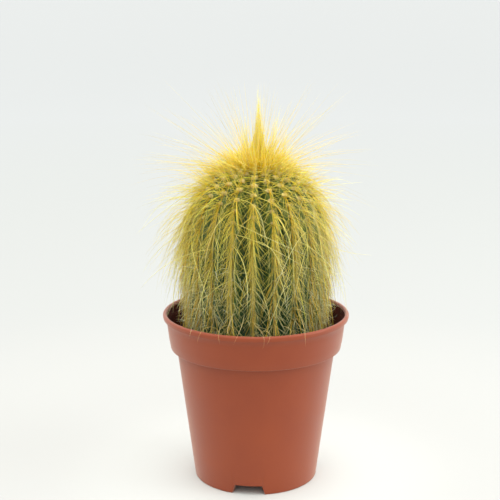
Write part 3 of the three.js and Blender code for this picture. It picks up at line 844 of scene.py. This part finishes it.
def add_centrals(bunch, rows):
    """The long spines that hang along the crest, in golden-brown bundles."""
    at, out, up, across = crest_frames(rows[:, 0], rows[:, 1])
    share = rows[:, 2]
    count = len(rows)
    high = smoothstep(share, 0.55, 0.9)
    gold = smoothstep(share, 0.5, 0.95)
    for _ in range(CENTRALS):
        wander = rng.normal(0, 0.14, (count, 1)) * (1 + 3 * (rng.random((count, 1)) < 0.3))
        way = (out * rng.uniform(0.2, 0.6, (count, 1)) + across * wander
               + up * (-0.7 + 0.6 * high)[:, None])
        length = rng.uniform(7, 16, count) * (1 - 0.4 * high)
        fall = rng.uniform(1.6, 3.2, count) * (1 - 0.7 * high)
        lines = trace(at, way, length, fall, curl=rng.normal(0, 0.2, (count, 3)), steps=7,
                      clearance=rng.uniform(0.15, 0.8, count))
        bunch.add(lines, rng.uniform(0.065, 0.105, count), blend_colours(AMBER, GOLD, gold),
                  blend_colours(OLIVE_GOLD, PALE_GOLD, gold), 0.34)


def add_fringe(bunch, rows):
    """Fine bristles that stand out from every areole: straight and golden near the top, curlier below."""
    at, out, up, across = crest_frames(rows[:, 0], rows[:, 1])
    share = rows[:, 2]
    high = smoothstep(share, 0.45, 0.85)
    gold = smoothstep(share, 0.35, 0.85)
    foot = 1 - smoothstep(share, 0.0, 0.35)
    fresh = smoothstep(share, 0.05, 0.42)
    longest = 9.0 + 8.0 * smoothstep(share, 0.2, 0.5) - 11.5 * smoothstep(share, 0.6, 0.9) - 2 * foot
    longest *= 1 - 0.1 * np.sin(rows[:, 1])
    root_colour = blend_colours(BONE, blend_colours(OLIVE_GOLD, GOLD, gold), fresh)
    tip_colour = blend_colours(TAN, blend_colours(CREAM, PALE_GOLD, gold), fresh)
    density = 0.32 + 0.56 * smoothstep(share, 0.2, 0.55) - 0.25 * smoothstep(share, 0.62, 0.9)
    for _ in range(FRINGE):
        kept = rng.random(len(rows)) < density
        count = int(kept.sum())
        loose = 1 - 0.5 * high[kept]
        root = at[kept] + up[kept] * (rng.normal(0, 1.3, count) * loose)[:, None]
        lean = -0.4 + 0.5 * high[kept] - 0.3 * foot[kept] + rng.normal(0, 0.22, count) * (loose + foot[kept])
        aside = rng.normal(0, 0.3, count) * loose
        way = out[kept] + across[kept] * aside[:, None] + up[kept] * lean[:, None]
        length = 1.8 + (longest[kept] - 1.8) * rng.random(count) ** (1.5 + 0.8 * high[kept])
        fall = rng.uniform(1.0, 4.2, count) * (1 - 0.95 * high[kept])
        curl = rng.normal(0, 0.3, (count, 3)) * (1 - 0.9 * high[kept])[:, None]
        lines = trace(root, way, length, fall, curl, steps=6, clearance=0.1)
        thickness = rng.uniform(0.022, 0.038, count) + 0.012 * high[kept]
        bunch.add(lines, thickness, root_colour[kept], tip_colour[kept], 0.26)


def add_strays(bunch, rows):
    """Long pale hairs that sweep sideways and down across the ribs, and thin ones that arch outwards."""
    chosen = rows[(rows[:, 2] > 0.3) & (rows[:, 2] < 0.76) & (rng.random(len(rows)) < 0.55)]
    at, out, up, across = crest_frames(chosen[:, 0], chosen[:, 1])
    count = len(chosen)
    sweep = rng.choice([-1.0, 1.0], count) * rng.uniform(0.2, 1.8, count)
    way = (out * rng.uniform(0.35, 0.8, (count, 1)) + across * sweep[:, None]
           - up * rng.uniform(-0.2, 1.0, (count, 1)))
    length = np.minimum(rng.uniform(10, 28, count), 4 + at[:, 2] - POT_HEIGHT)
    lines = trace(at, way, length, fall=rng.uniform(0.6, 2.8, count), curl=rng.normal(0, 0.8, (count, 3)),
                  steps=12, clearance=rng.uniform(0.8, 2.2, count))
    bunch.add(within_reach(lines), rng.uniform(0.07, 0.105, count), CREAM, PALE, 0.1)
    chosen = rows[(rows[:, 2] > 0.35) & (rows[:, 2] < 0.8) & (rng.random(len(rows)) < 0.4)]
    at, out, up, across = crest_frames(chosen[:, 0], chosen[:, 1])
    count = len(chosen)
    way = out + across * rng.normal(0, 0.4, (count, 1)) + up * rng.uniform(-0.5, 0.4, (count, 1))
    length = np.minimum(rng.uniform(9, 24, count), 3 + at[:, 2] - POT_HEIGHT)
    lines = trace(at, way, length, fall=rng.uniform(3.0, 6.5, count), curl=rng.normal(0, 0.4, (count, 3)),
                  steps=10, clearance=rng.uniform(0.8, 3.0, count))
    bunch.add(within_reach(lines), rng.uniform(0.035, 0.05, count), DULL_GOLD, TAN, 0.15)


def add_base_tangle(bunch, rows):
    """Old, pale bristles that tangle in all directions round the foot of the plant, most at its sides."""
    low = rows[rows[:, 2] < 0.38]
    low = np.repeat(low, TANGLE, axis=0)
    density = 0.54 - 0.42 * np.cos(2 * (low[:, 1] - math.radians(15)))
    low = low[rng.random(len(low)) < density]
    low[:, 0] += rng.normal(0, 0.012, len(low))
    at, out, up, across = crest_frames(low[:, 0], low[:, 1] + rng.normal(0, 0.07, len(low)))
    count = len(low)
    turn = rng.uniform(0, 2 * math.pi, count)
    way = (out * rng.uniform(0.15, 0.8, (count, 1)) + across * np.sin(turn)[:, None]
           - up * (0.35 + 0.65 * np.cos(turn))[:, None])
    lines = trace(at, way, rng.uniform(2.0, 6.5, count), fall=rng.uniform(0.2, 1.4, count),
                  curl=rng.normal(0, 0.12, (count, 3)), steps=5, clearance=rng.uniform(0.1, 0.9, count))
    bunch.add(lines, rng.uniform(0.045, 0.07, count), PALE_TAN, PALE_TAN, 0.28)


def add_rim_hairs(bunch, rows):
    """A few thin hairs that start low on the ribs, cross the pot's lip and hang down outside it."""
    low = rows[(rows[:, 2] < 0.13) & (rng.random(len(rows)) < np.cos(rows[:, 1]) ** 2 - 0.15)]
    count = len(low)
    azimuth = low[:, 1] + rng.normal(0, 0.1, count)
    over_azimuth = azimuth + rng.normal(0, 0.1, count)
    end_azimuth = over_azimuth + rng.normal(0, 0.06, count)
    root = on_meridian(low[:, 0] + 0.05)[0]
    outward = outward_of(azimuth)
    over = RIM_RADIUS + rng.uniform(1.0, 1.6, count)
    end = RIM_RADIUS + rng.uniform(0.4, 1.0, count)
    drop = POT_HEIGHT - rng.uniform(-0.3, 3.4, count)
    corners = [outward * root[:, :1] + UP * root[:, 1:],
               outward * (root[:, :1] + 3.5) + UP * (POT_HEIGHT + 1.2),
               outward_of(over_azimuth) * over[:, None] + UP * (POT_HEIGHT + 2.0),
               outward_of(end_azimuth) * end[:, None] + UP * drop[:, None]]
    t = np.linspace(0, 1, 12)
    weights = [(1 - t) ** 3, 3 * t * (1 - t) ** 2, 3 * t**2 * (1 - t), t**3]
    lines = sum(w[None, :, None] * c[:, None] for w, c in zip(weights, corners))
    bunch.add(lines, 0.085, TAN, RIM_HAIR, 0.15)


def make_rib_spines(material):
    """All the spines and hairs of the ribs, a few ribs to a piece."""
    for start in range(0, RIB_COUNT, RIBS_PER_PIECE):
        end = start + RIBS_PER_PIECE
        rows = areoles[(areoles[:, 3] >= start) & (areoles[:, 3] < end)]
        bunch = Bunch()
        for add in (add_radials, add_centrals, add_fringe, add_strays, add_base_tangle, add_rim_hairs):
            add(bunch, rows)
        nodes = [f"rib_spines_{rib + 1:02d}" for rib in range(start, end)]
        bunch.piece(f"rib_spines_{start + 1:02d}_to_{end:02d}", "straw_spine", nodes, material)


def make_wool(material):
    """A pad of cream-coloured felt with short hairs on every areole."""
    work = bmesh.new()
    bmesh.ops.create_icosphere(work, subdivisions=2, radius=1)
    ball = np.array([v.co[:] for v in work.verts])
    faces = np.array([[v.index for v in f.verts] for f in work.faces])
    work.free()
    bunch = Bunch()
    at, out, up, across = crest_frames(areoles[:, 0], areoles[:, 1])
    share = areoles[:, 2]
    young = smoothstep(share, 0.45, 0.8)
    size = 0.5 + 0.62 * young - 0.5 * smoothstep(share, 0.92, 1.0)
    felt = blend_colours(DULL_FELT, FELT, young)
    for i in range(len(areoles)):
        uneven = 1 + rng.normal(0, 0.09, (len(ball), 1))
        x, y, z = (ball * uneven * np.array([0.82, 0.62, 0.5]) * size[i]).T
        points = at[i] + out[i] * 0.2 + np.outer(x, across[i]) + np.outer(y, up[i]) + np.outer(z, out[i])
        shade = felt[i] * np.exp(rng.normal(0, 0.08)) * np.exp(rng.normal(0, 0.1, (len(ball), 1)))
        bunch.add_mesh(points, faces, shade)
    count = len(areoles)
    for _ in range(WOOL_HAIRS):
        side = rng.normal(0, 0.45, (count, 1)) * size[:, None]
        along = rng.normal(0, 0.32, (count, 1)) * size[:, None]
        root = at + out * 0.45 + across * side + up * along
        way = out + across * side * 1.6 + up * along * 1.6
        lines = trace(root, way, rng.uniform(0.5, 1.1, count), fall=0.5, curl=rng.normal(0, 0.8, (count, 3)),
                      steps=2, clearance=0.1)
        bunch.add(lines, 0.05, felt, blend_colours(STRAW, CREAM, young), 0.15)
    bunch.piece("areole_wool", "straw_spine", [], material)


def crown_roots(count, radius_low, radius_high):
    """Even random places on top of the plant, within a ring round the axis."""
    radius = np.sqrt(rng.uniform(radius_low**2, radius_high**2, count))
    azimuth = 2 * math.pi * rng.permutation((np.arange(count) + rng.random(count)) / count)
    order = meridian[::-1]
    height = np.interp(radius, order[:CREST_STEPS // 2, 0], order[:CREST_STEPS // 2, 1])
    return radius, azimuth, np.column_stack([radius * np.sin(azimuth), -radius * np.cos(azimuth), height])


def crown_bristles(bunch, count, ring, tilts, lengths, thickness, fall, colours, steps):
    """Bristles that fan out from the top, upright in the middle and steeper in front than elsewhere.

    tilts holds the degrees on the axis and at the crown's edge, and their scatter.
    """
    radius, azimuth, roots = crown_roots(count, *ring)
    share = radius / CROWN_RADIUS
    tilt = np.radians(tilts[0] + (tilts[1] - tilts[0]) * share + rng.normal(0, tilts[2], count))
    tilt *= 1 - 0.5 * np.maximum(0, np.cos(azimuth))
    way = outward_of(azimuth + rng.normal(0, 0.12, count)) * np.sin(tilt)[:, None]
    way[:, 2] = np.cos(tilt)
    length = lengths[0] + (lengths[1] - lengths[0]) * rng.random(count) ** 1.3
    lines = trace(roots, way, length, fall=rng.uniform(0, fall, count),
                  curl=rng.normal(0, 0.06, (count, 3)), steps=steps, clearance=0.1)
    bunch.add(within_reach(lines), thickness, *colours, 0.2)


def add_flame(bunch, count, foot_radius, centre, top, spread, closing, lean=0.0):
    """A tuft of loose bristles, wide at the foot and thinner further up.

    The larger closing is, the lower down it draws together. lean shifts its top towards +X.
    """
    radius, azimuth, roots = crown_roots(count, 0.1, foot_radius)
    roots[:, :2] += centre
    share = rng.random(count) ** 0.55 * (1 - 0.35 * (radius / foot_radius) ** 2)
    height = FLAME_FOOT + (top - FLAME_FOOT) * share
    aside = outward_of(azimuth) * (rng.uniform(0.0, 0.28, count) * radius)[:, None]
    middle = np.column_stack([np.array(centre) + aside[:, :2], roots[:, 2] + 0.45 * (height - roots[:, 2])])
    middle[:, :2] += rng.normal(0, 0.55, (count, 2))
    width = spread * (0.15 + 0.85 * (1 - share) ** closing) * rng.random(count) ** 1.3
    width *= np.where(rng.random(count) < 0.22, 2.2, 0.8)
    drift = outward_of(azimuth + rng.normal(0, 0.9, count)) * width[:, None]
    drift[:, 0] += lean * share
    tip = np.column_stack([np.array(centre) + drift[:, :2], height])
    t = np.linspace(0, 1, 7)[None, :, None]
    lines = (1 - t) ** 2 * roots[:, None] + 2 * t * (1 - t) * middle[:, None] + t**2 * tip[:, None]
    bunch.add(lines, rng.uniform(0.028, 0.05, count), FLAME_GOLD, FLAME_TIP, 0.2)


def make_crown(material):
    """The golden top: a dense low brush, the flame in the middle and long fine bristles that fan out."""
    bunch = Bunch()
    crown_bristles(bunch, count=2500, ring=(0.2, CROWN_RADIUS), tilts=(2, 50, 7), lengths=(1.4, 3.2),
                   thickness=0.055, fall=0.1, colours=(BURNT_GOLD, DEEP_GOLD), steps=4)
    crown_bristles(bunch, count=600, ring=(0.5, CROWN_RADIUS + 0.5), tilts=(3, 52, 8), lengths=(3, 7),
                   thickness=0.046, fall=0.2, colours=(DEEP_GOLD, GOLD), steps=6)
    crown_bristles(bunch, count=480, ring=(1, CROWN_RADIUS + 2.5), tilts=(4, 74, 14), lengths=(11, 32),
                   thickness=0.04, fall=0.5, colours=(GOLD, DULL_GOLD), steps=9)
    crown_bristles(bunch, count=500, ring=(4, CROWN_RADIUS + 2), tilts=(4, 58, 7), lengths=(1.6, 4),
                   thickness=0.046, fall=0.1, colours=(DEEP_GOLD, DEEP_GOLD), steps=4)
    add_flame(bunch, 200, foot_radius=4.2, centre=(0.6, 0), top=FLAME_TOP, spread=4.4, closing=2.2)
    add_flame(bunch, 44, foot_radius=2.5, centre=(3.8, 0.5), top=104.0, spread=3.0, closing=0.7, lean=2.6)
    add_flame(bunch, 30, foot_radius=2.5, centre=(6.6, 0.8), top=98.5, spread=3.0, closing=0.7, lean=2.6)
    add_flame(bunch, 40, foot_radius=2.4, centre=(-2.8, 0.5), top=102.0, spread=3.0, closing=0.7)
    add_flame(bunch, 150, foot_radius=6.0, centre=(0.4, 0), top=98.5, spread=9.0, closing=0.9)
    bunch.piece("crown_bristles", "golden_spine", ["crown_tuft"], material)


# Stage, light and camera
def make_stage():
    """A pale floor that reaches 150 m each way, with painted light that makes it paler round the pot, where
    the pot's shade falls.
    """
    mesh = bpy.data.meshes.new("floor")
    with editing(mesh) as work:
        bmesh.ops.create_circle(work, cap_ends=True, segments=64, radius=150)
    floor = new_object("floor", mesh)
    paint = Paint("floor", Roughness=0.8, Specular_IOR_Level=0.1)
    # Painted light: the floor's colour follows the distance from the pot's axis, paler where the pot's shade
    # falls.
    far_off = paint.node("VectorMath", operation="LENGTH")
    paint.link(paint.object_place(), "Object", far_off, "Vector")
    colour = paint.ramp(far_off, "Value", FLOOR_PAINTED_LIGHT)
    colour.color_ramp.interpolation = "B_SPLINE"
    floor.data.materials.append(paint.finished(colour))


def area_light(name, place, size, power):
    """A round soft box that faces the pot. Its place and size are in metres."""
    data = bpy.data.lights.new(name, "AREA")
    data.shape = "DISK"
    data.size = size
    data.energy = power
    light = new_object(name, data)
    light.location = place
    light.rotation_euler = (Vector(LIGHT_TARGET) - Vector(place)).to_track_quat("-Z", "Y").to_euler()


def make_light():
    """A white light tent, brightest overhead, dim behind the viewer and even along the horizon.

    Two soft boxes, overhead and from the right, shape the pot.
    """
    world = bpy.data.worlds.new("tent")
    bpy.context.scene.world = world
    tent = NodeTree(world)
    parts = tent.node("SeparateXYZ")
    tent.link(tent.node("TexCoord"), "Generated", parts, "Vector")
    wall = tent.node("MapRange", From_Min=-1.0, From_Max=0.2, To_Min=TENT_FRONT, To_Max=TENT_SIDE)
    tent.link(parts, "Y", wall, "Value")
    strength = tent.node("Mix", B=TENT_TOP)
    tent.link(parts, "Z", strength, "Factor")
    tent.link(wall, "Result", strength, "A")
    above = tent.node("MapRange", From_Max=TENT_FOOT)
    tent.link(parts, "Z", above, "Value")
    whole = tent.node("Mix", A=HORIZON)
    tent.link(above, "Result", whole, "Factor")
    tent.link(strength, "Result", whole, "B")
    background = tent.nodes["Background"]
    background.inputs["Color"].default_value = (1.0, 0.995, 0.98, 1)
    tent.link(whole, "Result", background, "Strength")
    area_light("overhead", (0.1, -0.1, 0.75), size=0.7, power=1.6)
    area_light("right", (0.5, -0.12, 0.2), size=0.3, power=0.7)


def make_camera():
    """The photograph's viewpoint: a little above the plant, from the front."""
    data = bpy.data.cameras.new("camera")
    data.sensor_width = SENSOR_WIDTH
    data.lens = FOCAL_PX / PICTURE_PX * SENSOR_WIDTH
    data.clip_start = 0.01
    data.clip_end = 300
    camera = new_object("camera", data)
    camera.location = (CAMERA_ASIDE * MM, -CAMERA_DISTANCE * MM, CAMERA_HEIGHT * MM)
    camera.rotation_euler = (math.radians(90 - CAMERA_PITCH), 0, 0)
    bpy.context.scene.camera = camera


make_camera()
make_light()
make_stage()
make_pot()
make_soil()
make_stem()
bristle = spine_material("bristle", 0.42)
make_rib_spines(bristle)
make_wool(spine_material("felt", 0.9))
make_crown(bristle)
bpy.context.scene.view_settings.view_transform = "Standard"
